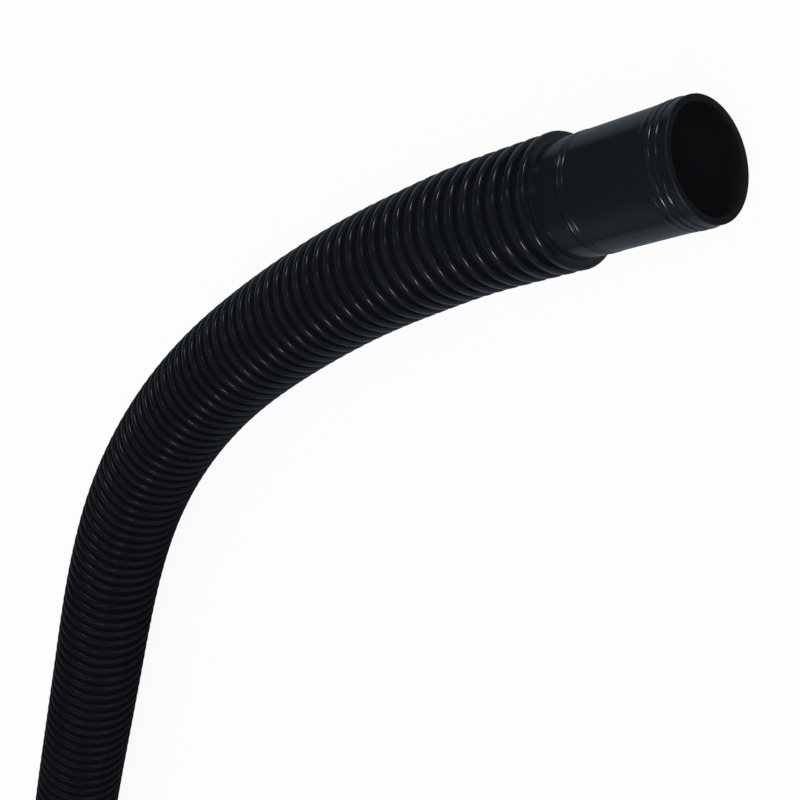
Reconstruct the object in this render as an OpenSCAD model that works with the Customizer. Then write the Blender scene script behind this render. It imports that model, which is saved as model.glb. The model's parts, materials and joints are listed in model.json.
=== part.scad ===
// Section of corrugated pool vacuum hose with a turning cuff at one end
// and a fixed cuff at the other, lying in its curve on a flat surface.
// Origin: centre of the turning cuff's mouth. +X leaves that mouth, +Z is up.
// All sizes are in millimetres.

/* [Hose] */
// Wall of the hose at the bottom of a groove
hose_wall = 2.2; // [1.6:0.1:2.8]
// Height of a rib above its groove
rib_height = 2.9; // [1.5:0.1:3.4]
// Distance from one rib to the next
rib_pitch = 7.2; // [6:0.1:8]
// Number of ribs between the two cuffs
rib_count = 151; // [60:1:160]
// Distance from an end of the hose to the middle of its first rib
rib_offset = 2; // [1:0.1:3]
// How far the ribs are flattened where the hose rests
rest_flat = 0.5; // [0.3:0.1:0.8]

/* [Cuffs] */
// Inside diameter of the water passage through a cuff
passage_d = 35.8; // [34:0.1:38]
// Wall of the socket at a cuff's mouth
socket_wall = 2.5; // [2:0.1:2.8]
// Depth of a cuff's socket
socket_depth = 30; // [26:0.5:32]
// Length of cuff that stands out of the hose
cuff_reach = 58; // [54:1:80]
// Length of the sleeve that is bonded inside the hose
sleeve_length = 30; // [20:1:36]
// Wall of the sleeve inside the hose
sleeve_wall = 1.8; // [1.4:0.1:2]
// Number of grip rings round the sleeve
grip_count = 4; // [2:1:6]
// Depth of the grooves between the grip rings
grip_depth = 0.4; // [0.2:0.1:0.6]
// Radius of the rounded edge at a cuff's mouth
lip_round = 0.5; // [0.3:0.1:1.2]

/* [Mouth beads] */
// Distance from the mouth to the middle of the first bead
bead_offset = 4.7; // [3.4:0.1:5.6]
// Distance from one bead to the next
bead_pitch = 3; // [2.4:0.1:3.4]
// Width of a bead
bead_width = 2; // [1.6:0.1:2.2]
// Height of the two tall beads
bead_height = 0.35; // [0.2:0.05:0.5]
// Height of the low bead behind them
low_bead_height = 0.15; // [0.1:0.05:0.2]

/* [Turning joint] */
// Length of the turning cuff, from its mouth to its open end
turning_length = 45; // [42:0.1:50]
// Wall of the spigot's journal, which the cuff turns on
journal_wall = 1.62; // [1.5:0.02:2]
// Wall of the turning cuff round the joint
skirt_wall = 1; // [0.8:0.1:1.2]
// Thickness of the seal washer
washer_thickness = 1.4; // [1:0.1:2]
// How far the washer's hole stands inside the socket wall
washer_lip = 0.6; // [0.4:0.1:0.8]
// Thickness of the flange that holds the cuff on
flange_thickness = 2; // [1.6:0.1:3]
// Wall of the retaining ring
retainer_wall = 0.9; // [0.7:0.1:1]
// Width of the retaining ring's rim, seen between the fine rings
rim_width = 2.1; // [1.6:0.1:3]
// Width of a fine ring
fine_ring_width = 0.8; // [0.5:0.1:1]
// Height of a fine ring
fine_ring_height = 0.25; // [0.15:0.05:0.3]

/* [Fits] */
// Radial running clearance of the turning joint
running_fit = 0.08; // [0.03:0.01:0.1]
// Axial gap between faces that turn past each other
face_gap = 0.3; // [0.2:0.05:0.5]
// Radial gap between the sleeve and the hose, filled with adhesive
bond_gap = 0.1; // [0.05:0.05:0.2]
// Radial gap round the seal washer
washer_gap = 0.1; // [0.05:0.05:0.2]

/* [Hidden] */
$fn = 96;

black = [0.07, 0.08, 0.10];
soft_black = [0.10, 0.11, 0.13];
grey_black = [0.15, 0.16, 0.18];
seal_black = [0.05, 0.05, 0.05];

// Route of the hose's centreline over the surface, from the turning cuff's end.
// The curve is a smooth spline that these points guide.
ROUTE = [
    [0, 0], [-27, 0], [-52, 0], [-82, -2.5], [-122, -6], [-180, -16.5],
    [-238, -31.5], [-294, -56], [-344, -88.5], [-387.5, -130.5], [-426, -176],
    [-465, -221], [-504, -266], [-542, -314], [-572, -368], [-584, -426],
    [-582, -486], [-566, -544], [-538, -596], [-506, -648], [-474, -700],
    [-442, -752]
];

// Radii from the water passage outwards, through the sleeve and the hose round it
passage_r = passage_d / 2;
sleeve_r = passage_r + sleeve_wall;
bore_r = sleeve_r + bond_gap;
groove_r = bore_r + hose_wall;
crest_r = groove_r + rib_height - rest_flat;
hose_length = (rib_count - 1) * rib_pitch + 2 * rib_offset;

// Resolution of the hose
hose_sides = 8;
rings_per_rib = 2;
bore_step = 24;
spans_per_point = 8;

// Radii from the water passage outwards, through the turning joint and the cuff round it
journal_r = passage_r + journal_wall;
retainer_r = journal_r + running_fit;
skirt_r = retainer_r + retainer_wall;
flange_r = skirt_r - running_fit;
cuff_r = skirt_r + skirt_wall;
socket_r = cuff_r - socket_wall;

// Places along the turning joint, measured from the mouth into the hose
flange_start = socket_depth + washer_thickness + face_gap;
flange_end = flange_start + flange_thickness;
retainer_start = flange_end + face_gap;
rim_end = turning_length + rim_width;
collar_start = rim_end + face_gap;
sleeve_end = cuff_reach + sleeve_length;

// How deep a bead's profile is rooted in the wall below it
bead_root = 0.3;

// ---- Spline through the route ----

function ends_of(points) = concat(
    [2 * points[0] - points[1]],
    points,
    [2 * points[len(points) - 1] - points[len(points) - 2]]
);

GUIDE = ends_of(ROUTE);
span_count = len(ROUTE) - 1;

// Span that holds spline parameter u
function span_of(u) = min(floor(u), span_count - 1);

// Weights of a uniform cubic B-spline and of its slope, for the four guides of a span
function weights(t) = [
    pow(1 - t, 3) / 6,
    (3 * pow(t, 3) - 6 * t * t + 4) / 6,
    (-3 * pow(t, 3) + 3 * t * t + 3 * t + 1) / 6,
    pow(t, 3) / 6
];
function slopes(t) = [
    -pow(1 - t, 2) / 2,
    (3 * t * t - 4 * t) / 2,
    (-3 * t * t + 2 * t + 1) / 2,
    t * t / 2
];

function blend_of(w, i) = w[0] * GUIDE[i] + w[1] * GUIDE[i + 1] + w[2] * GUIDE[i + 2] + w[3] * GUIDE[i + 3];
function spline_point(u) = blend_of(weights(u - span_of(u)), span_of(u));
function spline_slope(u) = blend_of(slopes(u - span_of(u)), span_of(u));

// Table from length along the route to spline parameter
STEPS = span_count * spans_per_point;
RUN = [
    for (
        i = 0, run = 0;
        i <= STEPS;
        run = run + norm(spline_point((i + 1) / spans_per_point) - spline_point(i / spans_per_point)),
        i = i + 1
    )
    [run, i / spans_per_point]
];
route_length = RUN[STEPS][0];

// Point and direction of the centreline at a length s from the turning cuff's end.
// Past the last guide point the hose runs on straight.
function parameter_at(s) = lookup(s, RUN);
function direction_at(s) = let (d = spline_slope(parameter_at(s))) d / norm(d);
function centre_at(s) = spline_point(parameter_at(s)) + max(0, s - route_length) * direction_at(s);

// ---- Ribbed hose ----

// One ring of the hose. r is the distance from the centre to a flat side,
// and one flat side faces down.
function ring(s, r) =
    let (
        c = centre_at(s),
        d = direction_at(s),
        corner_r = r / cos(180 / hose_sides)
    )
    [
        for (k = [0 : hose_sides - 1])
        let (
            a = 360 * (k + 0.5) / hose_sides,
            out = corner_r * cos(a),
            up = corner_r * sin(a)
        )
        [c[0] - d[1] * out, c[1] + d[0] * out, up]
    ];

// Two triangles between the corners k and k + 1 of two rings that start at a and b
function band(a, b, k) =
    let (j = (k + 1) % hose_sides)
    [[a + k, b + k, b + j], [a + k, b + j, a + j]];

function tube_bands(a, b) = [for (k = [0 : hose_sides - 1]) each band(a, b, k)];

// Rings from the first crest to the last, with the grooves between them
function rib_rings() = [
    for (i = [0 : rings_per_rib * (rib_count - 1)])
    each ring(rib_offset + i * rib_pitch / rings_per_rib, i % rings_per_rib == 0 ? crest_r : groove_r)
];

module hose() {
    outer = concat(ring(0, groove_r), rib_rings(), ring(hose_length, groove_r));
    outer_count = len(outer) / hose_sides;
    bore_count = ceil(hose_length / bore_step) + 1;
    inner = [
        for (i = [0 : bore_count - 1])
        each ring(i * hose_length / (bore_count - 1), bore_r)
    ];
    first_inner = len(outer);
    last_outer = first_inner - hose_sides;
    last_inner = first_inner + len(inner) - hose_sides;
    faces = [
        for (i = [0 : outer_count - 2])
        each tube_bands((i + 1) * hose_sides, i * hose_sides),
        for (i = [0 : bore_count - 2])
        each tube_bands(first_inner + i * hose_sides, first_inner + (i + 1) * hose_sides),
        each tube_bands(0, first_inner),
        each tube_bands(last_inner, last_outer)
    ];
    color(soft_black)
    translate([-cuff_reach, 0, 0])
    polyhedron(points = concat(outer, inner), faces = faces, convexity = 10);
}

// ---- Turned profiles ----
// A profile is drawn with its distance from the axis along X
// and its depth from the mouth along Y.

// A plain wall from radius r_in to r_out, between two depths
module wall(r_in, r_out, from, to) {
    translate([r_in, from])
    square([r_out - r_in, to - from]);
}

// A rounded ring that stands out of a wall of radius r
module bead(r, depth, width, height) {
    round_r = (height * height + width * width / 4) / (2 * height);
    intersection() {
        translate([r + height - round_r, depth])
        circle(r = round_r);
        wall(r - bead_root, r + height, depth - width, depth + width);
    }
}

// The wall of a socket, with its mouth rounded outside, two tall beads and a low one
module socket_wall(depth_end) {
    wall(socket_r, cuff_r - lip_round, 0, depth_end);
    wall(socket_r, cuff_r, lip_round, depth_end);
    translate([cuff_r - lip_round, lip_round])
    circle(r = lip_round);
    for (i = [0 : 2])
    bead(cuff_r, bead_offset + i * bead_pitch, bead_width, i < 2 ? bead_height : low_bead_height);
}

// The sleeve inside the hose, with its grip rings
module sleeve_wall_profile() {
    ring_pitch = sleeve_length / grip_count;
    wall(passage_r, sleeve_r - grip_depth, cuff_reach, sleeve_end);
    for (i = [0 : grip_count - 1])
    wall(
        sleeve_r - grip_depth - bead_root,
        sleeve_r,
        cuff_reach + i * ring_pitch,
        cuff_reach + (i + 0.5) * ring_pitch
    );
}

// A fine ring whose middle is at the given depth
module fine_ring(depth) {
    bead(cuff_r, depth, fine_ring_width, fine_ring_height);
}

// Turns a profile round the axis of the cuff at the origin, whose depth runs along -X
module turned() {
    rotate([0, -90, 0])
    rotate_extrude()
    children();
}

// Puts a cuff that is built at the origin on the far end of the hose
module at_far_end() {
    end = centre_at(hose_length);
    way = direction_at(hose_length);
    mouth = end + cuff_reach * way;
    translate([mouth[0] - cuff_reach, mouth[1], 0])
    rotate([0, 0, atan2(way[1], way[0])])
    children();
}

// ---- Turning end ----

module swivel_cuff() {
    color(black)
    turned() {
        difference() {
            union() {
                socket_wall(turning_length);
                intersection() {
                    fine_ring(turning_length - fine_ring_width / 2);
                    wall(0, 2 * cuff_r, 0, turning_length);
                }
            }
            wall(0, skirt_r, socket_depth, turning_length + 1);
        }
    }
}

module seal_washer() {
    color(seal_black)
    turned()
    wall(socket_r - washer_lip, skirt_r - washer_gap, socket_depth, socket_depth + washer_thickness);
}

module retaining_ring() {
    color(grey_black)
    turned() {
        wall(retainer_r, skirt_r, retainer_start, rim_end);
        wall(retainer_r, cuff_r, turning_length, rim_end);
        intersection() {
            fine_ring(rim_end - fine_ring_width / 2);
            wall(0, 2 * cuff_r, turning_length, rim_end);
        }
    }
}

module swivel_spigot() {
    color(soft_black)
    turned() {
        wall(passage_r, flange_r, flange_start, flange_end);
        wall(passage_r, journal_r, flange_start, collar_start);
        wall(passage_r, cuff_r, collar_start, cuff_reach);
        sleeve_wall_profile();
    }
}

// ---- Fixed end ----

module fixed_cuff() {
    color(black)
    at_far_end()
    turned() {
        socket_wall(socket_depth);
        wall(passage_r, cuff_r, socket_depth, cuff_reach);
        fine_ring(turning_length - fine_ring_width / 2);
        fine_ring(rim_end - fine_ring_width / 2);
        sleeve_wall_profile();
    }
}

hose();
swivel_spigot();
swivel_cuff();
retaining_ring();
seal_washer();
fixed_cuff();
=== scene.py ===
"""Looks of a corrugated pool vacuum hose with a turning cuff at one end and a fixed cuff at the other.

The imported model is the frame: metres, +X out of the turning cuff's mouth, +Z up, the hose lying in a curve on
the floor. Each piece is modelled straight along X with its mouth at the origin, then bent or set in its place,
and rides on the body that carries it.
"""

import json
import logging
import math
from dataclasses import dataclass, field
from enum import Enum
from typing import Any, Mapping, Sequence, Union

import bpy
import numpy as np
from mathutils import Matrix, Vector


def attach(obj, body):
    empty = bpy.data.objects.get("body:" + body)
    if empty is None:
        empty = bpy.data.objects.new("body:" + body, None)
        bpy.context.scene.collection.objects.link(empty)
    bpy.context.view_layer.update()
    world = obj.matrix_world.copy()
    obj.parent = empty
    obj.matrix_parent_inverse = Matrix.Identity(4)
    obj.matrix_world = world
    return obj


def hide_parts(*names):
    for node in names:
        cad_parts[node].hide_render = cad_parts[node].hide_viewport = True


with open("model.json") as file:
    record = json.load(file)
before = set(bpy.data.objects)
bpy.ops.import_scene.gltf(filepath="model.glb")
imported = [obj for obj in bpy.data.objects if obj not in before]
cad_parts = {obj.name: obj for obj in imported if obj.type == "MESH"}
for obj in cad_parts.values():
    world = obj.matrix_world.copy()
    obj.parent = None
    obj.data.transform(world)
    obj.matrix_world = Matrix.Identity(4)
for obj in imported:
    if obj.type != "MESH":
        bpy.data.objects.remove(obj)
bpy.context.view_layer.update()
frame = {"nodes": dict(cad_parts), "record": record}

LOG = logging.getLogger("vacuum_hose")

MM = 0.001
FULL_TURN = 2 * math.pi
MERGE_DISTANCE = 0.002 * MM
START_SIZE = 1 * MM
NOISE_MIDDLE = 0.5
STRAIGHT_PLACE = "straight_place"

Colour = tuple[float, float, float]
Place = tuple[float, float, float]


class Body(Enum):
    """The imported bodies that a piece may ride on."""

    HOSE = "hose_body"
    TURNING_CUFF = "turning_cuff"


class Slot(Enum):
    """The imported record's material slots."""

    HOSE = "hose"
    CUFF = "cuff"
    SPIGOT = "spigot"
    RING = "ring"
    SEAL = "seal"


# ---- Shader sheets ----


class Shade:
    """A number that varies over a surface. Arithmetic on it adds Math nodes to its sheet."""

    def __init__(self, sheet: "ShaderSheet", socket: bpy.types.NodeSocket) -> None:
        """Wraps a socket.

        Args:
            sheet: The sheet that the socket's node stands on.
            socket: The output socket.
        """
        self.sheet = sheet
        self.socket = socket

    def _math(self, operation: str, first: "Value", second: "Value") -> "Shade":
        """Adds one Math node.

        Args:
            operation: The node's operation.
            first: The value of its first socket.
            second: The value of its second socket.

        Returns:
            The node's result.
        """
        node = self.sheet.node("ShaderNodeMath", {"operation": operation}, {0: first, 1: second})
        return Shade(self.sheet, node.outputs[0])

    def __add__(self, other: "Value") -> "Shade":
        """The sum."""
        return self._math("ADD", self, other)

    def __radd__(self, other: float) -> "Shade":
        """The sum, with the number first."""
        return self._math("ADD", other, self)

    def __sub__(self, other: "Value") -> "Shade":
        """The difference."""
        return self._math("SUBTRACT", self, other)

    def __rsub__(self, other: float) -> "Shade":
        """The difference, with the number first."""
        return self._math("SUBTRACT", other, self)

    def __mul__(self, other: "Value") -> "Shade":
        """The product."""
        return self._math("MULTIPLY", self, other)

    def __rmul__(self, other: float) -> "Shade":
        """The product, with the number first."""
        return self._math("MULTIPLY", other, self)

    def __pow__(self, other: "Value") -> "Shade":
        """The power."""
        return self._math("POWER", self, other)


Value = Union[Shade, float]


class ShaderSheet:
    """The node tree of one finish, floor or world.

    Attributes:
        MIX_COLOUR_INPUTS: Numbers of a colour Mix node's factor and its two colours.
        MIX_COLOUR_OUTPUT: Number of its result.
    """

    MIX_COLOUR_INPUTS = (0, 6, 7)
    MIX_COLOUR_OUTPUT = 2

    def __init__(self, tree: bpy.types.NodeTree) -> None:
        """Clears the tree for new nodes.

        Args:
            tree: The node tree to build in.
        """
        self.tree = tree
        tree.nodes.clear()

    @classmethod
    def of_material(cls, name: str) -> tuple["ShaderSheet", bpy.types.Material]:
        """Makes a new material.

        Args:
            name: The material's name.

        Returns:
            The material's sheet, and the material.
        """
        material = bpy.data.materials.new(name)
        material.use_nodes = True
        return cls(material.node_tree), material

    def node(
        self,
        kind: str,
        settings: Mapping[str, Any] | None = None,
        sockets: Mapping[str | int, Any] | None = None,
    ) -> bpy.types.Node:
        """Adds a node.

        Args:
            kind: The node's type.
            settings: Its settings, which are set first.
            sockets: The value or the link of each input socket, by name or number.

        Returns:
            The node.
        """
        made = self.tree.nodes.new(kind)
        for key, value in (settings or {}).items():
            setattr(made, key, value)
        for key, value in (sockets or {}).items():
            if isinstance(value, Shade):
                value = value.socket
            if isinstance(value, bpy.types.NodeSocket):
                self.tree.links.new(value, made.inputs[key])
            else:
                made.inputs[key].default_value = value
        return made

    def shade(self, socket: bpy.types.NodeSocket) -> Shade:
        """The socket as a number for arithmetic."""
        return Shade(self, socket)

    def ramp(self, value: Shade, start: float, end: float) -> Shade:
        """A smooth step.

        Args:
            value: The number to look at.
            start: Where the step begins, at 0.
            end: Where the step ends, at 1.

        Returns:
            The step's height.
        """
        settings = {"interpolation_type": "SMOOTHSTEP"}
        sockets = {"Value": value, "From Min": start, "From Max": end}
        return self.shade(self.node("ShaderNodeMapRange", settings, sockets).outputs["Result"])

    def noise(self, vector: bpy.types.NodeSocket, scale: float, detail: float) -> Shade:
        """Smooth noise, from about 0 to 1.

        Args:
            vector: The place to read it at.
            scale: Grains a metre.
            detail: How many finer layers lie on it.

        Returns:
            The noise.
        """
        sockets = {"Vector": vector, "Scale": scale, "Detail": detail}
        return self.shade(self.node("ShaderNodeTexNoise", None, sockets).outputs["Fac"])

    def mix_colour(self, factor: Value, first: Any, second: Any) -> bpy.types.NodeSocket:
        """Mixes two colours.

        Args:
            factor: The share of the second colour.
            first: The first colour, or a link to it.
            second: The second colour, or a link to it.

        Returns:
            The mixed colour.
        """
        colours = [(*c, 1.0) if isinstance(c, tuple) else c for c in (first, second)]
        sockets = dict(zip(self.MIX_COLOUR_INPUTS, (factor, *colours)))
        made = self.node("ShaderNodeMix", {"data_type": "RGBA"}, sockets)
        return made.outputs[self.MIX_COLOUR_OUTPUT]

    def finish_surface(self, shader: bpy.types.NodeSocket) -> None:
        """Sends a shader to the surface.

        Args:
            shader: The shader's output.
        """
        self.node("ShaderNodeOutputMaterial", None, {"Surface": shader})

    def finish_plastic(self, tone: Any, roughness: Value, height: Shade, distance: float) -> None:
        """Sends a plastic or rubber shader to the surface.

        Args:
            tone: Its colour.
            roughness: How matt it is.
            height: Its fine relief, from 0 to 1.
            distance: Height of the relief.
        """
        relief = self.node("ShaderNodeBump", None, {"Strength": 1.0, "Distance": distance, "Height": height})
        sockets = {"Base Color": tone, "Roughness": roughness, "Normal": relief.outputs[0]}
        self.finish_surface(self.node("ShaderNodeBsdfPrincipled", None, sockets).outputs[0])


# ---- Finishes ----


@dataclass(frozen=True)
class MouldedPlastic:
    """Satin black plastic from a polished mould, rubbed a little where it stands proud, with light painted into its
    bore.

    Attributes:
        name: The material's name.
        tone: Its colour.
        rubbed_tone: Its colour where it is rubbed.
        roughness: How matt it is.
        roughness_spread: How much that varies.
        proud: Radii between which a surface counts more and more as proud.
        painted_light_inside_tone: Its colour just inside the mouth, a little lighter than outside as painted light
            against the shade in the bore.
        painted_light_deep_tone: Its colour deep inside the cuff, much lighter as painted light against the shade
            there.
        deep: Places along X between which a surface counts more and more as deep, where the painted light grows.
        inside_roughness: How much more matt it is there.
        inside: Radii between which a surface counts more and more as inside.
        rim_roughness: How much more matt the scuffed rim of the mouth is.
        rim: Places along X between which a surface counts more and more as the rim.
        cloud_scale: Size of the worn patches, in patches a metre.
        cloud_rub: Part of the clouds, from 0 to 1, over which rubbing sets in.
        rub_share: How much rubbing shows in the colour.
        cloud_share: How much the clouds show in the colour everywhere.
        cloud_detail: How many finer layers lie on the clouds.
        grain_scale: Fineness of the surface, in grains a metre.
        grain_detail: How many finer layers lie on the grains.
        grain_height: Height of the grains.
    """

    name: str = "moulded_black"
    tone: Colour = (0.0066, 0.0084, 0.0116)
    rubbed_tone: Colour = (0.0105, 0.0125, 0.0160)
    roughness: float = 0.21
    roughness_spread: float = 0.05
    proud: tuple[float, float] = (21.55 * MM, 21.8 * MM)
    painted_light_inside_tone: Colour = (0.0086, 0.0094, 0.0122)
    painted_light_deep_tone: Colour = (0.0300, 0.0330, 0.0430)
    deep: tuple[float, float] = (-2.0 * MM, -28.0 * MM)
    inside_roughness: float = 0.4
    inside: tuple[float, float] = (19.35 * MM, 19.1 * MM)
    rim_roughness: float = 0.22
    rim: tuple[float, float] = (-1.0 * MM, -0.4 * MM)
    cloud_scale: float = 70.0
    cloud_rub: tuple[float, float] = (0.35, 0.6)
    rub_share: float = 0.8
    cloud_share: float = 0.2
    cloud_detail: float = 3.0
    grain_scale: float = 900.0
    grain_detail: float = 1.0
    grain_height: float = 0.002 * MM

    def material(self) -> bpy.types.Material:
        """The finish as a material."""
        sheet, material = ShaderSheet.of_material(self.name)
        straight = sheet.node("ShaderNodeAttribute", {"attribute_name": STRAIGHT_PLACE}).outputs["Vector"]
        clouds = sheet.noise(straight, self.cloud_scale, self.cloud_detail)
        grain = sheet.noise(straight, self.grain_scale, self.grain_detail)
        along, radius = along_and_radius(sheet, straight)
        rubbed = sheet.ramp(radius, *self.proud) * sheet.ramp(clouds, *self.cloud_rub)
        worn = rubbed * self.rub_share + clouds * self.cloud_share
        inside = sheet.ramp(radius, *self.inside)
        outside_tone = sheet.mix_colour(worn, self.tone, self.rubbed_tone)
        # Painted light: the bore's colour grows lighter deeper into the cuff, against the shade there.
        painted_light_lining_tone = sheet.mix_colour(sheet.ramp(along, *self.deep), self.painted_light_inside_tone, self.painted_light_deep_tone)
        spread = (clouds - NOISE_MIDDLE) * self.roughness_spread
        matt = inside * self.inside_roughness + sheet.ramp(along, *self.rim) * self.rim_roughness
        sheet.finish_plastic(
            tone=sheet.mix_colour(inside, outside_tone, painted_light_lining_tone),
            roughness=self.roughness + spread + matt,
            height=grain,
            distance=self.grain_height,
        )
        return material


@dataclass(frozen=True)
class ExtrudedPlastic:
    """Glossy black hose plastic, rubbed along the tops of its ribs, with light painted into its grooves.

    Attributes:
        name: The material's name.
        painted_light_groove_tone: Its colour down in the grooves, lighter than on the ribs as painted light against
            the shade there.
        crest_tone: Its colour on the ribs.
        rubbed_tone: Its colour where a rib is rubbed.
        roughness: How matt it is.
        roughness_spread: How much that varies.
        rubbed_roughness: How much more matt it is where it is rubbed.
        wall: Radii between which the grooves' painted light gives way to the rib's colour.
        crest: Radii between which a surface counts more and more as a rib's top.
        cloud_scale: Size of the worn patches, in patches a metre.
        cloud_rub: Part of the clouds, from 0 to 1, over which rubbing sets in.
        rub_share: How much rubbing shows in the colour.
        cloud_detail: How many finer layers lie on the clouds.
        grain_scale: Fineness of the surface, in grains a metre.
        grain_detail: How many finer layers lie on the grains.
        grain_height: Height of the grains.
    """

    name: str = "extruded_black"
    painted_light_groove_tone: Colour = (0.0140, 0.0152, 0.0188)
    crest_tone: Colour = (0.0066, 0.0084, 0.0112)
    rubbed_tone: Colour = (0.0120, 0.0138, 0.0170)
    roughness: float = 0.19
    roughness_spread: float = 0.03
    rubbed_roughness: float = 0.03
    wall: tuple[float, float] = (21.8 * MM, 23.6 * MM)
    crest: tuple[float, float] = (24.4 * MM, 24.9 * MM)
    cloud_scale: float = 60.0
    cloud_rub: tuple[float, float] = (0.42, 0.68)
    rub_share: float = 0.6
    cloud_detail: float = 3.0
    grain_scale: float = 700.0
    grain_detail: float = 1.0
    grain_height: float = 0.001 * MM

    def material(self) -> bpy.types.Material:
        """The finish as a material."""
        sheet, material = ShaderSheet.of_material(self.name)
        straight = sheet.node("ShaderNodeAttribute", {"attribute_name": STRAIGHT_PLACE}).outputs["Vector"]
        radius = along_and_radius(sheet, straight)[1]
        clouds = sheet.noise(straight, self.cloud_scale, self.cloud_detail)
        grain = sheet.noise(straight, self.grain_scale, self.grain_detail)
        rubbed = sheet.ramp(radius, *self.crest) * sheet.ramp(clouds, *self.cloud_rub)
        # Painted light: the grooves are coloured lighter than the ribs, against the shade down there.
        plain = sheet.mix_colour(sheet.ramp(radius, *self.wall), self.painted_light_groove_tone, self.crest_tone)
        spread = (clouds - NOISE_MIDDLE) * self.roughness_spread + rubbed * self.rubbed_roughness
        sheet.finish_plastic(
            tone=sheet.mix_colour(rubbed * self.rub_share, plain, self.rubbed_tone),
            roughness=self.roughness + spread,
            height=grain,
            distance=self.grain_height,
        )
        return material


@dataclass(frozen=True)
class SealRubber:
    """Matt black rubber with a faint pale bloom.

    Attributes:
        name: The material's name.
        tone: Its colour.
        bloom_tone: Its colour where the bloom is.
        roughness: How matt it is.
        roughness_spread: How much that varies.
        bloom_scale: Size of the bloom's patches, in patches a metre.
        bloom_part: Part of the noise, from 0 to 1, over which the bloom sets in.
        bloom_detail: How many finer layers lie on the bloom.
        grain_scale: Fineness of the surface, in grains a metre.
        grain_detail: How many finer layers lie on the grains.
        grain_height: Height of the grains.
    """

    name: str = "seal_rubber"
    tone: Colour = (0.012, 0.012, 0.012)
    bloom_tone: Colour = (0.035, 0.034, 0.032)
    roughness: float = 0.72
    roughness_spread: float = 0.15
    bloom_scale: float = 220.0
    bloom_part: tuple[float, float] = (0.5, 0.8)
    bloom_detail: float = 4.0
    grain_scale: float = 3000.0
    grain_detail: float = 2.0
    grain_height: float = 0.02 * MM

    def material(self) -> bpy.types.Material:
        """The finish as a material."""
        sheet, material = ShaderSheet.of_material(self.name)
        place = sheet.node("ShaderNodeTexCoord").outputs["Object"]
        bloom = sheet.noise(place, self.bloom_scale, self.bloom_detail)
        sheet.finish_plastic(
            tone=sheet.mix_colour(sheet.ramp(bloom, *self.bloom_part), self.tone, self.bloom_tone),
            roughness=self.roughness + (bloom - NOISE_MIDDLE) * self.roughness_spread,
            height=sheet.noise(place, self.grain_scale, self.grain_detail),
            distance=self.grain_height,
        )
        return material


def along_and_radius(sheet: ShaderSheet, straight: bpy.types.NodeSocket) -> tuple[Shade, Shade]:
    """The place along the axis of a piece that is turned round X, and the distance from that axis.

    Args:
        sheet: The finish's sheet.
        straight: The place on the straight piece.

    Returns:
        The place along X and the distance, in metres.
    """
    parts = sheet.node("ShaderNodeSeparateXYZ", None, {0: straight})
    x, y, z = (sheet.shade(parts.outputs[axis]) for axis in "XYZ")
    return x, (y * y + z * z) ** 0.5


# ---- Modelling by hand ----


@dataclass(frozen=True)
class Corner:
    """A corner of a turned profile.

    Attributes:
        depth: Distance from the mouth into the cuff.
        radius: Distance from the axis.
        round: Radius that the corner is rounded to.
    """

    depth: float
    radius: float
    round: float = 0.0

    def flat(self) -> Vector:
        """The corner as a point in the profile's plane."""
        return Vector((self.depth, self.radius))


ROUND_STEPS = 5
BEAD_STEPS = 10
HOLD_REACH = 0.25 * MM
HOLD_ABOVE = 1.6 * MM


def rounded(corners: Sequence[Corner]) -> list[Corner]:
    """Rounds the corners of a closed profile.

    Args:
        corners: The corners, in order.

    Returns:
        The profile's points, in order.
    """
    points: list[Corner] = []
    for before, corner, after in zip([corners[-1], *corners[:-1]], corners, [*corners[1:], corners[0]]):
        if corner.round == 0:
            points.append(corner)
            continue
        to_before = (before.flat() - corner.flat()).normalized()
        to_after = (after.flat() - corner.flat()).normalized()
        half = to_before.angle(to_after) / 2
        middle = corner.flat() + (to_before + to_after).normalized() * (corner.round / math.sin(half))
        start = corner.flat() + to_before * (corner.round / math.tan(half)) - middle
        sweep = start.angle_signed(corner.flat() + to_after * (corner.round / math.tan(half)) - middle)
        for step in range(ROUND_STEPS + 1):
            turned = start.copy()
            turned.rotate(Matrix.Rotation(-sweep * step / ROUND_STEPS, 2))
            points.append(Corner(middle.x + turned.x, middle.y + turned.y))
    return points


def held(points: Sequence[Corner]) -> list[Corner]:
    """Adds a point near both ends of each long wall of a closed profile, so that the wall shades straight.

    Args:
        points: The profile's points, in order.

    Returns:
        The points with the added ones.
    """
    made: list[Corner] = []
    for here, there in zip(points, [*points[1:], points[0]]):
        made.append(here)
        way = there.flat() - here.flat()
        if way.length > HOLD_ABOVE:
            step = way.normalized() * HOLD_REACH
            near, far = here.flat() + step, there.flat() - step
            made += [Corner(near.x, near.y), Corner(far.x, far.y)]
    return made


def bead(radius: float, depth: float, width: float, height: float) -> list[Corner]:
    """A raised ring with a round back.

    Args:
        radius: Radius of the wall that it stands on.
        depth: Distance from the mouth to its middle.
        width: Its width at the wall.
        height: Its height above the wall.

    Returns:
        Its points, from the mouth's side inwards.
    """
    back = (height * height + width * width / 4) / (2 * height)
    reach = math.asin(width / 2 / back)
    angles = [reach * (2 * step / BEAD_STEPS - 1) for step in range(BEAD_STEPS + 1)]
    return [Corner(depth + back * math.sin(a), radius + height - back + back * math.cos(a)) for a in angles]


def select_none() -> None:
    """Deselects every object."""
    bpy.ops.object.select_all(action="DESELECT")


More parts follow.
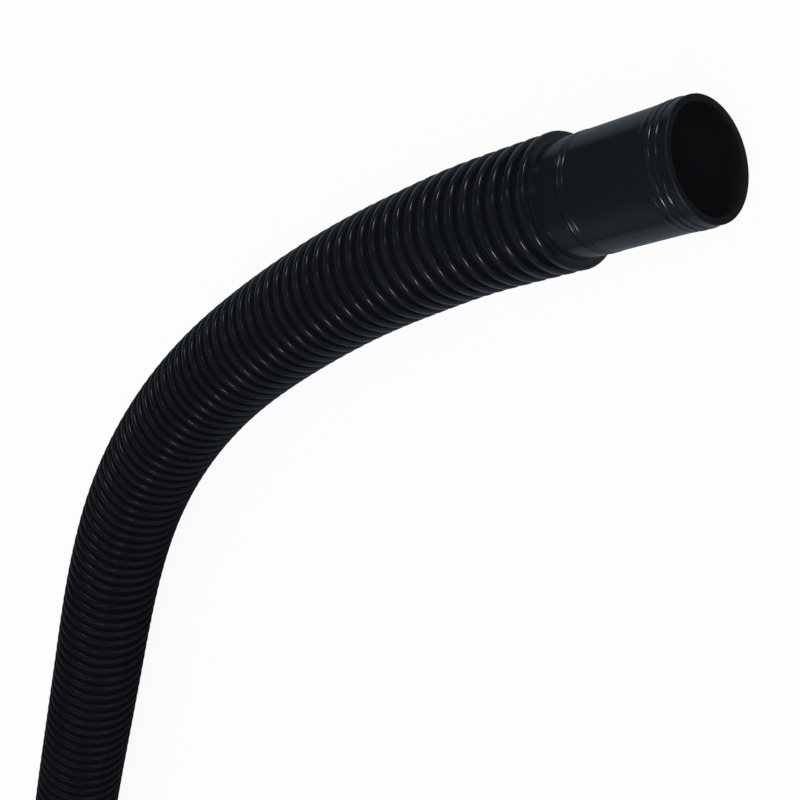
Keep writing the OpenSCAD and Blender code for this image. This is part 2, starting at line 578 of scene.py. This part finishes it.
def draw_chain(name: str, points: Sequence[Corner], closed: bool) -> bpy.types.Object:
    """Draws a chain of edges by extruding one vertex from point to point.

    Args:
        name: The new object's name.
        points: The points, with depth running along -X.
        closed: Whether the last point joins the first.

    Returns:
        The object, in edit mode with all selected.
    """
    select_none()
    first = points[0]
    bpy.ops.mesh.primitive_plane_add(size=START_SIZE, location=(-first.depth, 0, first.radius))
    piece = bpy.context.object
    piece.name = piece.data.name = name
    bpy.ops.object.mode_set(mode="EDIT")
    bpy.ops.mesh.select_all(action="SELECT")
    bpy.ops.mesh.merge(type="CENTER")
    stops = [*points, first] if closed else points
    for here, there in zip(stops, stops[1:]):
        move = (here.depth - there.depth, 0, there.radius - here.radius)
        bpy.ops.mesh.extrude_vertices_move(TRANSFORM_OT_translate={"value": move})
    bpy.ops.mesh.select_all(action="SELECT")
    bpy.ops.mesh.remove_doubles(threshold=MERGE_DISTANCE)
    return piece


def spin_chain(sides: int) -> None:
    """Spins the selected chain a full turn round the X axis.

    Args:
        sides: Number of sides of the turned piece.
    """
    bpy.ops.mesh.spin(steps=sides, angle=FULL_TURN, center=(0, 0, 0), axis=(1, 0, 0))
    bpy.ops.mesh.select_all(action="SELECT")
    bpy.ops.mesh.remove_doubles(threshold=MERGE_DISTANCE)


def keep_straight_place(piece: bpy.types.Object) -> None:
    """Keeps where each vertex is while the piece is still straight, for its finish to follow.

    Args:
        piece: The straight piece.
    """
    count = len(piece.data.vertices)
    places = np.zeros(count * 3, np.float32)
    piece.data.vertices.foreach_get("co", places)
    attribute = piece.data.attributes.new(STRAIGHT_PLACE, "FLOAT_VECTOR", "POINT")
    attribute.data.foreach_set("vector", places)


def apply_place(piece: bpy.types.Object) -> None:
    """Moves the piece's place into its mesh.

    Args:
        piece: The piece, in object mode.
    """
    select_none()
    piece.select_set(True)
    bpy.context.view_layer.objects.active = piece
    bpy.ops.object.transform_apply(location=True, rotation=True, scale=True)


def apply_modifiers(piece: bpy.types.Object) -> None:
    """Applies the piece's modifiers in order.

    Args:
        piece: The piece, in object mode.
    """
    bpy.context.view_layer.objects.active = piece
    for modifier in list(piece.modifiers):
        bpy.ops.object.modifier_apply(modifier=modifier.name)


def dress(piece: bpy.types.Object, material: bpy.types.Material, body: Body) -> None:
    """Gives a piece its material and body.

    Args:
        piece: The finished piece.
        material: Its finish.
        body: The body it rides on.
    """
    piece.data.materials.clear()
    piece.data.materials.append(material)
    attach(piece, body.value)


# ---- Hose ----


@dataclass(frozen=True)
class HoseRoute:
    """The smooth line that the hose's axis follows over the floor, as in the CAD source."""

    start: float = 58 * MM
    samples_per_span: int = 64
    guides: tuple[tuple[float, float], ...] = (
        (0, 0), (-27, 0), (-52, 0), (-82, -2.5), (-122, -6), (-180, -16.5),
        (-238, -31.5), (-294, -56), (-344, -88.5), (-387.5, -130.5), (-426, -176),
        (-465, -221), (-504, -266), (-542, -314), (-572, -368), (-584, -426),
        (-582, -486), (-566, -544), (-538, -596), (-506, -648), (-474, -700),
        (-442, -752),
    )

    def control_points(self) -> np.ndarray:
        """The spline's control points in metres, with one mirrored past each end."""
        route = np.array(self.guides, float) * MM - [self.start, 0]
        return np.vstack([2 * route[0] - route[1], route, 2 * route[-1] - route[-2]])

    def curve(self) -> bpy.types.Object:
        """The route as a curve that a mesh can be bent along."""
        data = bpy.data.curves.new("hose_route", "CURVE")
        data.dimensions = "3D"
        data.twist_mode = "Z_UP"
        data.resolution_u = self.samples_per_span
        controls = self.control_points()
        spline = data.splines.new("NURBS")
        spline.points.add(len(controls) - 1)
        for point, (x, y) in zip(spline.points, controls):
            point.co = (x, y, 0, 1)
        spline.order_u = 4
        spline.use_endpoint_u = False
        spline.resolution_u = self.samples_per_span
        route = bpy.data.objects.new("hose_route", data)
        bpy.context.scene.collection.objects.link(route)
        return route

    def line(self) -> np.ndarray:
        """Close points on the whole route, in metres."""
        controls = self.control_points()
        share = np.linspace(0, 1, self.samples_per_span, endpoint=False)[:, None]
        weights = (
            (1 - share) ** 3 / 6,
            (3 * share**3 - 6 * share**2 + 4) / 6,
            (-3 * share**3 + 3 * share**2 + 3 * share + 1) / 6,
            share**3 / 6,
        )
        spans = [
            sum(weight * controls[span + k] for k, weight in enumerate(weights))
            for span in range(len(controls) - 3)
        ]
        return np.vstack(spans)

    def points(self, length: float, step: float) -> list[Place]:
        """Evenly spaced points on the hose's axis.

        Args:
            length: Length of the hose.
            step: Distance between points.

        Returns:
            The points, from the turning cuff's end.
        """
        line = self.line()
        run = np.concatenate([[0], np.cumsum(np.linalg.norm(np.diff(line, axis=0), axis=1))])
        stops = np.linspace(0, length, round(length / step) + 1)
        return [(float(np.interp(s, run, line[:, 0])), float(np.interp(s, run, line[:, 1])), 0.0) for s in stops]


@dataclass
class RibbedHose:
    """The corrugated hose: one rib, repeated, closed at both ends and bent along its route."""

    route: HoseRoute = field(default_factory=HoseRoute)
    sides: int = 48
    rib_count: int = 151
    rib_pitch: float = 7.2 * MM
    rib_offset: float = 2 * MM
    bore_radius: float = 19.8 * MM
    groove_radius: float = 21.6 * MM
    crest_radius: float = 24.9 * MM
    floor_height: float = -24.4 * MM
    half_rib: float = 1.8 * MM
    foot_reach: float = 2.1 * MM
    squareness: float = 3.7
    first_turn: float = math.radians(8)
    crest_steps: int = 9
    end_slack: float = 0.05 * MM
    smooth_below: float = math.radians(50)
    path_step: float = 4 * MM
    piece: bpy.types.Object | None = None

    @property
    def length(self) -> float:
        """Length of the hose between its two faces."""
        return (self.rib_count - 1) * self.rib_pitch + 2 * self.rib_offset

    def rib_profile(self) -> list[Corner]:
        """The outside of one rib, broad and nearly flat on top, from the foot of its groove to the next rib's foot."""
        height = self.crest_radius - self.groove_radius
        power = 2 / self.squareness
        sweep = math.pi - 2 * self.first_turn
        crest = []
        for step in range(self.crest_steps + 1):
            turn = self.first_turn + sweep * step / self.crest_steps
            reach = math.copysign(abs(math.cos(turn)) ** power, math.cos(turn))
            crest.append(Corner(-self.half_rib * reach, self.groove_radius + height * math.sin(turn) ** power))
        first = Corner(-self.foot_reach, self.groove_radius)
        last = Corner(self.foot_reach, self.groove_radius)
        return [first, *crest, last, Corner(self.rib_pitch - self.foot_reach, self.groove_radius)]

    def model_rib(self) -> bpy.types.Object:
        """One rib with its stretch of bore, centred on the first rib's place."""
        piece = draw_chain("ribbed_hose", self.rib_profile(), closed=False)
        spin_chain(self.sides)
        bpy.ops.mesh.primitive_cylinder_add(
            vertices=self.sides,
            radius=self.bore_radius,
            depth=self.rib_pitch,
            end_fill_type="NOTHING",
            location=(self.foot_reach - self.rib_pitch / 2, 0, 0),
            rotation=(0, math.pi / 2, 0),
        )
        bpy.ops.object.mode_set(mode="OBJECT")
        piece.location.x += self.rib_offset
        apply_place(piece)
        return piece

    def repeat_rib(self) -> None:
        """Repeats the rib along the hose."""
        array = self.piece.modifiers.new("ribs", "ARRAY")
        array.count = self.rib_count
        array.use_relative_offset = False
        array.use_constant_offset = True
        array.constant_offset_displace = (self.rib_pitch, 0, 0)
        array.use_merge_vertices = True
        array.merge_threshold = MERGE_DISTANCE * 5
        apply_modifiers(self.piece)

    def select_face_edges(self, at: float) -> None:
        """Selects the two open loops at one end of the hose.

        Args:
            at: The end's place along X.
        """
        bpy.ops.mesh.select_all(action="DESELECT")
        bpy.ops.object.mode_set(mode="OBJECT")
        mesh = self.piece.data
        places = np.zeros(len(mesh.vertices) * 3, np.float32)
        mesh.vertices.foreach_get("co", places)
        near = np.abs(places[::3] - at) < self.end_slack
        ends = np.zeros(len(mesh.edges) * 2, np.int32)
        mesh.edges.foreach_get("vertices", ends)
        chosen = near[ends[::2]] & near[ends[1::2]]
        mesh.edges.foreach_set("select", chosen)
        mesh.vertices.foreach_set("select", near)
        bpy.ops.object.mode_set(mode="EDIT")

    def close_ends(self) -> None:
        """Cuts the hose square at both faces and closes its wall there."""
        select_none()
        bpy.context.view_layer.objects.active = self.piece
        self.piece.select_set(True)
        bpy.ops.object.mode_set(mode="EDIT")
        bpy.ops.mesh.select_mode(type="EDGE")
        for at, cuts in ((0.0, {"clear_inner": True}), (self.length, {"clear_outer": True})):
            bpy.ops.mesh.select_all(action="SELECT")
            bpy.ops.mesh.bisect(plane_co=(at, 0, 0), plane_no=(1, 0, 0), **cuts)
        for at in (0.0, self.length):
            self.select_face_edges(at)
            bpy.ops.mesh.bridge_edge_loops()
        bpy.ops.mesh.select_mode(type="VERT")
        bpy.ops.mesh.select_all(action="SELECT")
        bpy.ops.mesh.normals_make_consistent(inside=False)
        bpy.ops.mesh.select_all(action="DESELECT")
        bpy.ops.object.mode_set(mode="OBJECT")

    def flatten_rest(self) -> None:
        """Flattens the ribs where they rest on the floor."""
        mesh = self.piece.data
        places = np.zeros(len(mesh.vertices) * 3, np.float32)
        mesh.vertices.foreach_get("co", places)
        low = places[2::3] < self.floor_height
        mesh.polygons.foreach_set("select", np.zeros(len(mesh.polygons), bool))
        mesh.edges.foreach_set("select", np.zeros(len(mesh.edges), bool))
        mesh.vertices.foreach_set("select", low)
        bpy.ops.object.mode_set(mode="EDIT")
        bpy.ops.transform.resize(value=(1, 1, 0), center_override=(0, 0, self.floor_height))
        bpy.ops.mesh.select_all(action="DESELECT")
        bpy.ops.object.mode_set(mode="OBJECT")

    def bend(self) -> None:
        """Bends the straight hose along its route."""
        route = self.route.curve()
        modifier = self.piece.modifiers.new("route", "CURVE")
        modifier.object = route
        modifier.deform_axis = "POS_X"
        apply_modifiers(self.piece)
        bpy.data.objects.remove(route)

    def build(self, finish: ExtrudedPlastic) -> bpy.types.Object:
        """Models and dresses the hose.

        Args:
            finish: Its finish.

        Returns:
            The hose.
        """
        self.piece = self.model_rib()
        self.repeat_rib()
        self.close_ends()
        keep_straight_place(self.piece)
        self.flatten_rest()
        self.bend()
        bpy.ops.object.shade_smooth_by_angle(angle=self.smooth_below)
        dress(self.piece, finish.material(), Body.HOSE)
        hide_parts("hose")
        return self.piece

    def declare(self) -> None:
        self.route.points(self.length, self.path_step)


# ---- Cuffs ----


@dataclass(frozen=True)
class CuffSizes:
    """Sizes that the pieces of the two cuffs share, in metres, as in the CAD source.

    Only the two fine rings are a little broader and lower here, so that their round backs catch the light.
    """

    passage_radius: float = 17.9 * MM
    socket_radius: float = 19.0 * MM
    cuff_radius: float = 21.5 * MM
    socket_depth: float = 30 * MM
    cuff_reach: float = 58 * MM
    sleeve_radius: float = 19.7 * MM
    sleeve_length: float = 30 * MM
    grip_count: int = 4
    grip_depth: float = 0.4 * MM
    lip_round: float = 0.5 * MM
    inner_lip_round: float = 0.45 * MM
    bead_offset: float = 4.7 * MM
    bead_pitch: float = 3 * MM
    bead_width: float = 2 * MM
    bead_height: float = 0.35 * MM
    low_bead_height: float = 0.15 * MM
    turning_length: float = 45.0 * MM
    journal_radius: float = 19.52 * MM
    ring_bore_radius: float = 19.6 * MM
    skirt_radius: float = 20.5 * MM
    flange_radius: float = 20.42 * MM
    flange_start: float = 31.7 * MM
    flange_end: float = 33.7 * MM
    ring_start: float = 34.0 * MM
    rim_end: float = 47.1 * MM
    collar_start: float = 47.4 * MM
    fine_ring_width: float = 1.3 * MM
    fine_ring_height: float = 0.2 * MM
    edge_round: float = 0.15 * MM
    seam: float = 0.06 * MM

    def mouth(self) -> list[Corner]:
        """The mouth, from its rim over the beads to the plain wall behind them."""
        beads = [
            point
            for k, height in enumerate((self.bead_height, self.bead_height, self.low_bead_height))
            for point in bead(self.cuff_radius, self.bead_offset + k * self.bead_pitch, self.bead_width, height)
        ]
        rim = [
            Corner(0, self.socket_radius, self.inner_lip_round),
            Corner(0, self.cuff_radius, self.lip_round),
        ]
        return [*rim, *beads]

    def fine_ring(self, end: float) -> list[Corner]:
        """A fine raised ring.

        Args:
            end: Its far edge, as a distance from the mouth.

        Returns:
            Its points, from the mouth's side inwards.
        """
        middle = end - self.fine_ring_width / 2
        return bead(self.cuff_radius, middle, self.fine_ring_width, self.fine_ring_height)

    def sleeve(self) -> list[Corner]:
        """The sleeve inside the hose with its grip rings, from the hose's face to the sleeve's end and back."""
        pitch = self.sleeve_length / self.grip_count
        low = self.sleeve_radius - self.grip_depth
        points = []
        for k in range(self.grip_count):
            start = self.cuff_reach + k * pitch
            middle = start + pitch / 2
            points += [
                Corner(start, self.sleeve_radius),
                Corner(middle, self.sleeve_radius, self.edge_round),
                Corner(middle, low),
                Corner(start + pitch, low),
            ]
        return [*points, Corner(self.cuff_reach + self.sleeve_length, self.passage_radius)]


@dataclass
class TurnedPiece:
    """A piece turned round the cuff's axis from a closed profile."""

    sizes: CuffSizes = field(default_factory=CuffSizes)
    name: str = "turned_piece"
    node: str = ""
    slot: Slot = Slot.CUFF
    body: Body = Body.HOSE
    sides: int = 128
    smooth_below: float = math.radians(28)
    piece: bpy.types.Object | None = None

    def profile(self) -> list[Corner]:
        """The closed profile."""
        raise NotImplementedError

    def set_in_place(self) -> None:
        """Leaves the piece at the turning cuff, where it is modelled."""

    def build(self, finish: MouldedPlastic) -> bpy.types.Object:
        """Models and dresses the piece.

        Args:
            finish: Its finish.

        Returns:
            The piece.
        """
        self.piece = draw_chain(self.name, held(rounded(self.profile())), closed=True)
        spin_chain(self.sides)
        bpy.ops.mesh.normals_make_consistent(inside=False)
        bpy.ops.mesh.select_all(action="DESELECT")
        bpy.ops.object.mode_set(mode="OBJECT")
        apply_place(self.piece)
        keep_straight_place(self.piece)
        self.set_in_place()
        bpy.ops.object.shade_smooth_by_angle(angle=self.smooth_below)
        dress(self.piece, finish.material(), self.body)
        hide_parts(self.node)
        return self.piece


@dataclass
class TurningCuff(TurnedPiece):
    """The smooth cuff that turns, with its socket and beaded mouth."""

    name: str = "turning_cuff_shell"
    node: str = "swivel_cuff"
    body: Body = Body.TURNING_CUFF

    def profile(self) -> list[Corner]:
        """The mouth, the plain wall, the first fine ring and the skirt round the joint."""
        s = self.sizes
        return [
            *s.mouth(),
            *s.fine_ring(s.turning_length),
            Corner(s.turning_length, s.skirt_radius, s.edge_round),
            Corner(s.socket_depth, s.skirt_radius),
            Corner(s.socket_depth, s.socket_radius, s.edge_round),
        ]


@dataclass
class RetainingRing(TurnedPiece):
    """The ring that holds the turning cuff on, with its rim and the second fine ring."""

    name: str = "retaining_rim"
    node: str = "retaining_ring"
    slot: Slot = Slot.RING
    body: Body = Body.TURNING_CUFF

    def profile(self) -> list[Corner]:
        """The thin ring inside the skirt and the rim behind it."""
        s = self.sizes
        rim_start = s.turning_length + s.seam
        return [
            Corner(s.ring_start, s.ring_bore_radius),
            Corner(s.ring_start, s.skirt_radius - s.seam, s.edge_round),
            Corner(rim_start, s.skirt_radius - s.seam),
            Corner(rim_start, s.cuff_radius, s.edge_round),
            *s.fine_ring(s.rim_end),
            Corner(s.rim_end, s.ring_bore_radius),
        ]


@dataclass
class Spigot(TurnedPiece):
    """The spigot fixed to the hose: flange, journal, the collar that shows, and the sleeve inside the hose."""

    name: str = "spigot_collar"
    node: str = "swivel_spigot"
    slot: Slot = Slot.SPIGOT

    def profile(self) -> list[Corner]:
        """The flange, the journal, the collar and the sleeve."""
        s = self.sizes
        return [
            Corner(s.flange_start, s.passage_radius, s.edge_round),
            Corner(s.flange_start, s.flange_radius, s.edge_round),
            Corner(s.flange_end, s.flange_radius, s.edge_round),
            Corner(s.flange_end, s.journal_radius),
            Corner(s.collar_start, s.journal_radius),
            Corner(s.collar_start, s.cuff_radius, s.edge_round),
            Corner(s.cuff_reach, s.cuff_radius),
            *s.sleeve(),
        ]


@dataclass
class FixedCuff(TurnedPiece):
    """The cuff at the far end, in one piece with the sleeve inside the hose."""

    name: str = "fixed_cuff_shell"
    node: str = "fixed_cuff"
    mount: str = "fixed_socket"

    def profile(self) -> list[Corner]:
        """The mouth, the plain wall, the two fine rings and the sleeve."""
        s = self.sizes
        return [
            *s.mouth(),
            *s.fine_ring(s.turning_length),
            *s.fine_ring(s.rim_end),
            Corner(s.cuff_reach, s.cuff_radius),
            *s.sleeve(),
            Corner(s.socket_depth, s.passage_radius, s.edge_round),
            Corner(s.socket_depth, s.socket_radius),
        ]

    def set_in_place(self) -> None:
        """Sets the cuff on the far end of the hose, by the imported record's mount."""
        mount = next(m for m in frame["record"]["mounts"] if m["name"] == self.mount)
        way = Vector(mount["axis"])
        self.piece.location = mount["pos_m"]
        self.piece.rotation_euler = (0, 0, math.atan2(way.y, way.x))
        apply_place(self.piece)


def dress_seal_washer(finish: SealRubber) -> bpy.types.Object:
    """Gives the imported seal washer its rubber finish.

    Args:
        finish: The finish.

    Returns:
        The washer.
    """
    washer = frame["nodes"]["seal_washer"]
    washer.data.materials.clear()
    washer.data.materials.append(finish.material())
    return washer


# ---- Studio ----

CUFF_JOINT = (-60 * MM, 0.0, 0.0)
PAST_MOUTH = (150 * MM, 0.0, 0.0)
WHITE = (1.0, 1.0, 1.0)
BLACK = (0.0, 0.0, 0.0)


def ray_kinds(sheet: ShaderSheet) -> tuple[Shade, ...]:
    """Whether a ray comes from the camera, from a gloss, or from behind something clear.

    Args:
        sheet: The sheet to add the node to.

    Returns:
        Camera, glossy and transmission, each 1 or 0.
    """
    path = sheet.node("ShaderNodeLightPath")
    return tuple(sheet.shade(path.outputs[f"Is {kind} Ray"]) for kind in ("Camera", "Glossy", "Transmission"))


@dataclass(frozen=True)
class StudioCamera:
    """The camera, looking down along the cuff at the curve of the hose."""

    place: Place = (0.27297, -0.0110, 0.3993)
    right: Place = (0.6580, -0.26639, -0.70432)
    up: Place = (0.12178, 0.96067, -0.24958)
    lens: float = 65.865
    sensor: float = 36.0

    def build(self) -> bpy.types.Object:
        """Adds the camera and makes it the scene's."""
        data = bpy.data.cameras.new("studio_camera")
        data.lens = self.lens
        data.sensor_width = self.sensor
        camera = bpy.data.objects.new("studio_camera", data)
        bpy.context.scene.collection.objects.link(camera)
        back = Vector(self.right).cross(Vector(self.up)).normalized()
        right = Vector(self.up).cross(back).normalized()
        turn = Matrix((right, back.cross(right), back)).transposed().to_4x4()
        camera.matrix_world = Matrix.Translation(self.place) @ turn
        bpy.context.scene.camera = camera
        return camera


@dataclass(frozen=True)
class Lamp:
    """A round soft lamp.

    Attributes:
        name: Its name.
        place: Where it stands.
        aim: The point that it faces.
        width: Its diameter.
        glow: Brightness of its face seen straight on, where 1 is white.
        colour: Its colour.
        spread: Angle that its light spreads over.
    """

    name: str
    place: Place
    aim: Place
    width: float
    glow: float
    colour: Colour
    spread: float

    def energy(self) -> float:
        """The power that gives its face this glow, which is the less, the less its light spreads."""
        half = self.spread / 2
        return 4 * self.glow * math.pi * (self.width / 2) ** 2 * (1 - half / math.tan(half))

    def build(self) -> bpy.types.Object:
        """Adds the lamp."""
        data = bpy.data.lights.new(self.name, "AREA")
        data.shape = "DISK"
        data.size = self.width
        data.color = self.colour
        data.energy = self.energy()
        data.spread = self.spread
        lamp = bpy.data.objects.new(self.name, data)
        bpy.context.scene.collection.objects.link(lamp)
        way = Vector(self.aim) - Vector(self.place)
        lamp.matrix_world = Matrix.Translation(self.place) @ way.to_track_quat("-Z", "Y").to_matrix().to_4x4()
        lamp.visible_camera = False
        return lamp


@dataclass(frozen=True)
class Studio:
    """The pale floor, the even light of the room and four soft lamps that face the cuff and its mouth."""

    floor_height: float = -24.45 * MM
    floor_radius: float = 6.0
    floor_sides: int = 96
    floor_tone: Colour = (0.9, 0.9, 0.9)
    shadow_share: float = 0.06
    room_light: float = 0.8
    paper_gloss: Colour = (0.18, 0.215, 0.25)
    far_paper_gloss: Colour = (0.03, 0.031, 0.034)
    behind_gloss: Colour = (0.10, 0.105, 0.115)
    side_gloss: Colour = (0.142, 0.148, 0.158)
    back_gloss: Colour = (0.12, 0.125, 0.135)
    horizon_gloss: Colour = (0.085, 0.094, 0.105)
    paper_fade: tuple[float, float] = (0.36, 0.08)
    front_x: tuple[float, float] = (0.03, -0.02)
    far_x: tuple[float, float] = (-0.13, -0.42)
    far_y: tuple[float, float] = (0.09, -0.05)
    behind_x: tuple[float, float] = (-0.45, -0.75)
    behind_y: tuple[float, float] = (-0.45, -0.25)
    side_x: tuple[float, float] = (-0.2, -0.6)
    side_far_x: tuple[float, float] = (-0.82, -0.60)
    side_y: tuple[float, float] = (0.1, -0.4)
    side_far_y: tuple[float, float] = (-0.90, -0.76)
    side_z: tuple[float, float] = (0.75, 0.35)
    back_x: tuple[float, float] = (-0.05, 0.35)
    back_z: tuple[float, float] = (0.5, 0.2)
    horizon_x: tuple[float, float] = (-0.80, -0.97)
    lamps: tuple[Lamp, ...] = (
        Lamp("left_lamp", (0.022, 0.711, 0.299), CUFF_JOINT, 0.15, 12.0, (0.90, 0.97, 1.0), math.radians(60)),
        Lamp("left_top_lamp", (0.07, 0.317, 0.476), CUFF_JOINT, 0.09, 5.0, (0.75, 0.9, 1.0), math.radians(120)),
        Lamp("right_top_lamp", (0.177, -0.144, 0.333), CUFF_JOINT, 0.06, 3.0, (0.75, 0.9, 1.0), math.radians(120)),
        Lamp("right_lamp", (-0.073, -1.212, 1.194), PAST_MOUTH, 0.34, 26.0, (0.90, 0.97, 1.0), math.radians(40)),
    )

    def build_floor(self) -> bpy.types.Object:
        """The floor: white to the camera with a faint shadow, and a dim sheet in reflections."""
        select_none()
        bpy.ops.mesh.primitive_circle_add(
            vertices=self.floor_sides,
            radius=self.floor_radius,
            fill_type="NGON",
            location=(0, 0, self.floor_height),
        )
        floor = bpy.context.object
        floor.name = floor.data.name = "studio_floor"
        apply_place(floor)
        sheet, material = ShaderSheet.of_material("studio_paper")
        camera, glossy, through = ray_kinds(sheet)
        place = sheet.node("ShaderNodeTexCoord").outputs["Object"]
        parts = sheet.node("ShaderNodeSeparateXYZ", None, {0: place})
        x, y = sheet.shade(parts.outputs["X"]), sheet.shade(parts.outputs["Y"])
        far = sheet.ramp(x, *self.far_x) * sheet.ramp(y, *self.far_y)
        behind = sheet.ramp(x, *self.behind_x) * sheet.ramp(y, *self.behind_y)
        gloss = sheet.mix_colour(behind, self.far_paper_gloss, self.behind_gloss)
        gloss = sheet.mix_colour(far, self.paper_gloss, gloss)
        near = sheet.ramp(y, *self.paper_fade) * sheet.ramp(x, *self.front_x)
        dim = sheet.mix_colour(near, BLACK, gloss)
        glow = sheet.mix_colour(glossy, WHITE, dim)
        paper = sheet.node("ShaderNodeBsdfDiffuse", None, {"Color": (*self.floor_tone, 1.0)})
        white = sheet.node("ShaderNodeEmission", None, {"Color": glow, "Strength": 1.0})
        shadow = (1 - glossy) * self.shadow_share
        shown = sheet.node("ShaderNodeMixShader", None, {0: shadow, 1: white.outputs[0], 2: paper.outputs[0]})
        seen = camera + glossy + through
        both = sheet.node("ShaderNodeMixShader", None, {0: seen, 1: paper.outputs[0], 2: shown.outputs[0]})
        sheet.finish_surface(both.outputs[0])
        floor.data.materials.append(material)
        return floor

    def build_room(self) -> bpy.types.World:
        """The room: white to the camera, a pale side low down in reflections, and even light on the object."""
        world = bpy.data.worlds.new("studio_room")
        bpy.context.scene.world = world
        world.use_nodes = True
        sheet = ShaderSheet(world.node_tree)
        camera, glossy, through = ray_kinds(sheet)
        way = sheet.node("ShaderNodeTexCoord").outputs["Generated"]
        parts = sheet.node("ShaderNodeSeparateXYZ", None, {0: way})
        x, y, z = (sheet.shade(parts.outputs[axis]) for axis in "XYZ")
        across = sheet.ramp(x, *self.side_x) * sheet.ramp(x, *self.side_far_x)
        deep = sheet.ramp(y, *self.side_y) * sheet.ramp(y, *self.side_far_y)
        side = across * deep * sheet.ramp(z, *self.side_z)
        low = sheet.ramp(z, *self.back_z)
        dim = sheet.mix_colour(sheet.ramp(x, *self.back_x) * low, BLACK, self.back_gloss)
        dim = sheet.mix_colour(sheet.ramp(x, *self.horizon_x) * low, dim, self.horizon_gloss)
        dim = sheet.mix_colour(side, dim, self.side_gloss)
        glow = sheet.mix_colour(glossy, WHITE, dim)
        shown = sheet.mix_colour(camera + glossy + through, (self.room_light,) * 3, glow)
        background = sheet.node("ShaderNodeBackground", None, {"Color": shown, "Strength": 1.0})
        sheet.node("ShaderNodeOutputWorld", None, {"Surface": background.outputs[0]})
        return world

    def build(self) -> None:
        """Adds the floor, the room and the lamps, and keeps colours as they are written."""
        self.build_floor()
        self.build_room()
        for lamp in self.lamps:
            lamp.build()
        bpy.context.scene.view_settings.view_transform = "Standard"


def main() -> None:
    """Builds the camera, the hose, the cuffs and the studio."""
    logging.basicConfig(level=logging.INFO, format="%(name)s: %(message)s")
    StudioCamera().build()
    hose = RibbedHose()
    fixed_cuff = FixedCuff()
    moulded = MouldedPlastic()
    made = [hose.build(ExtrudedPlastic()), fixed_cuff.build(moulded)]
    hose.declare()
    made += [TurningCuff().build(moulded), RetainingRing().build(moulded), Spigot().build(moulded)]
    made.append(dress_seal_washer(SealRubber()))
    Studio().build()


if __name__ == "__main__":
    main()
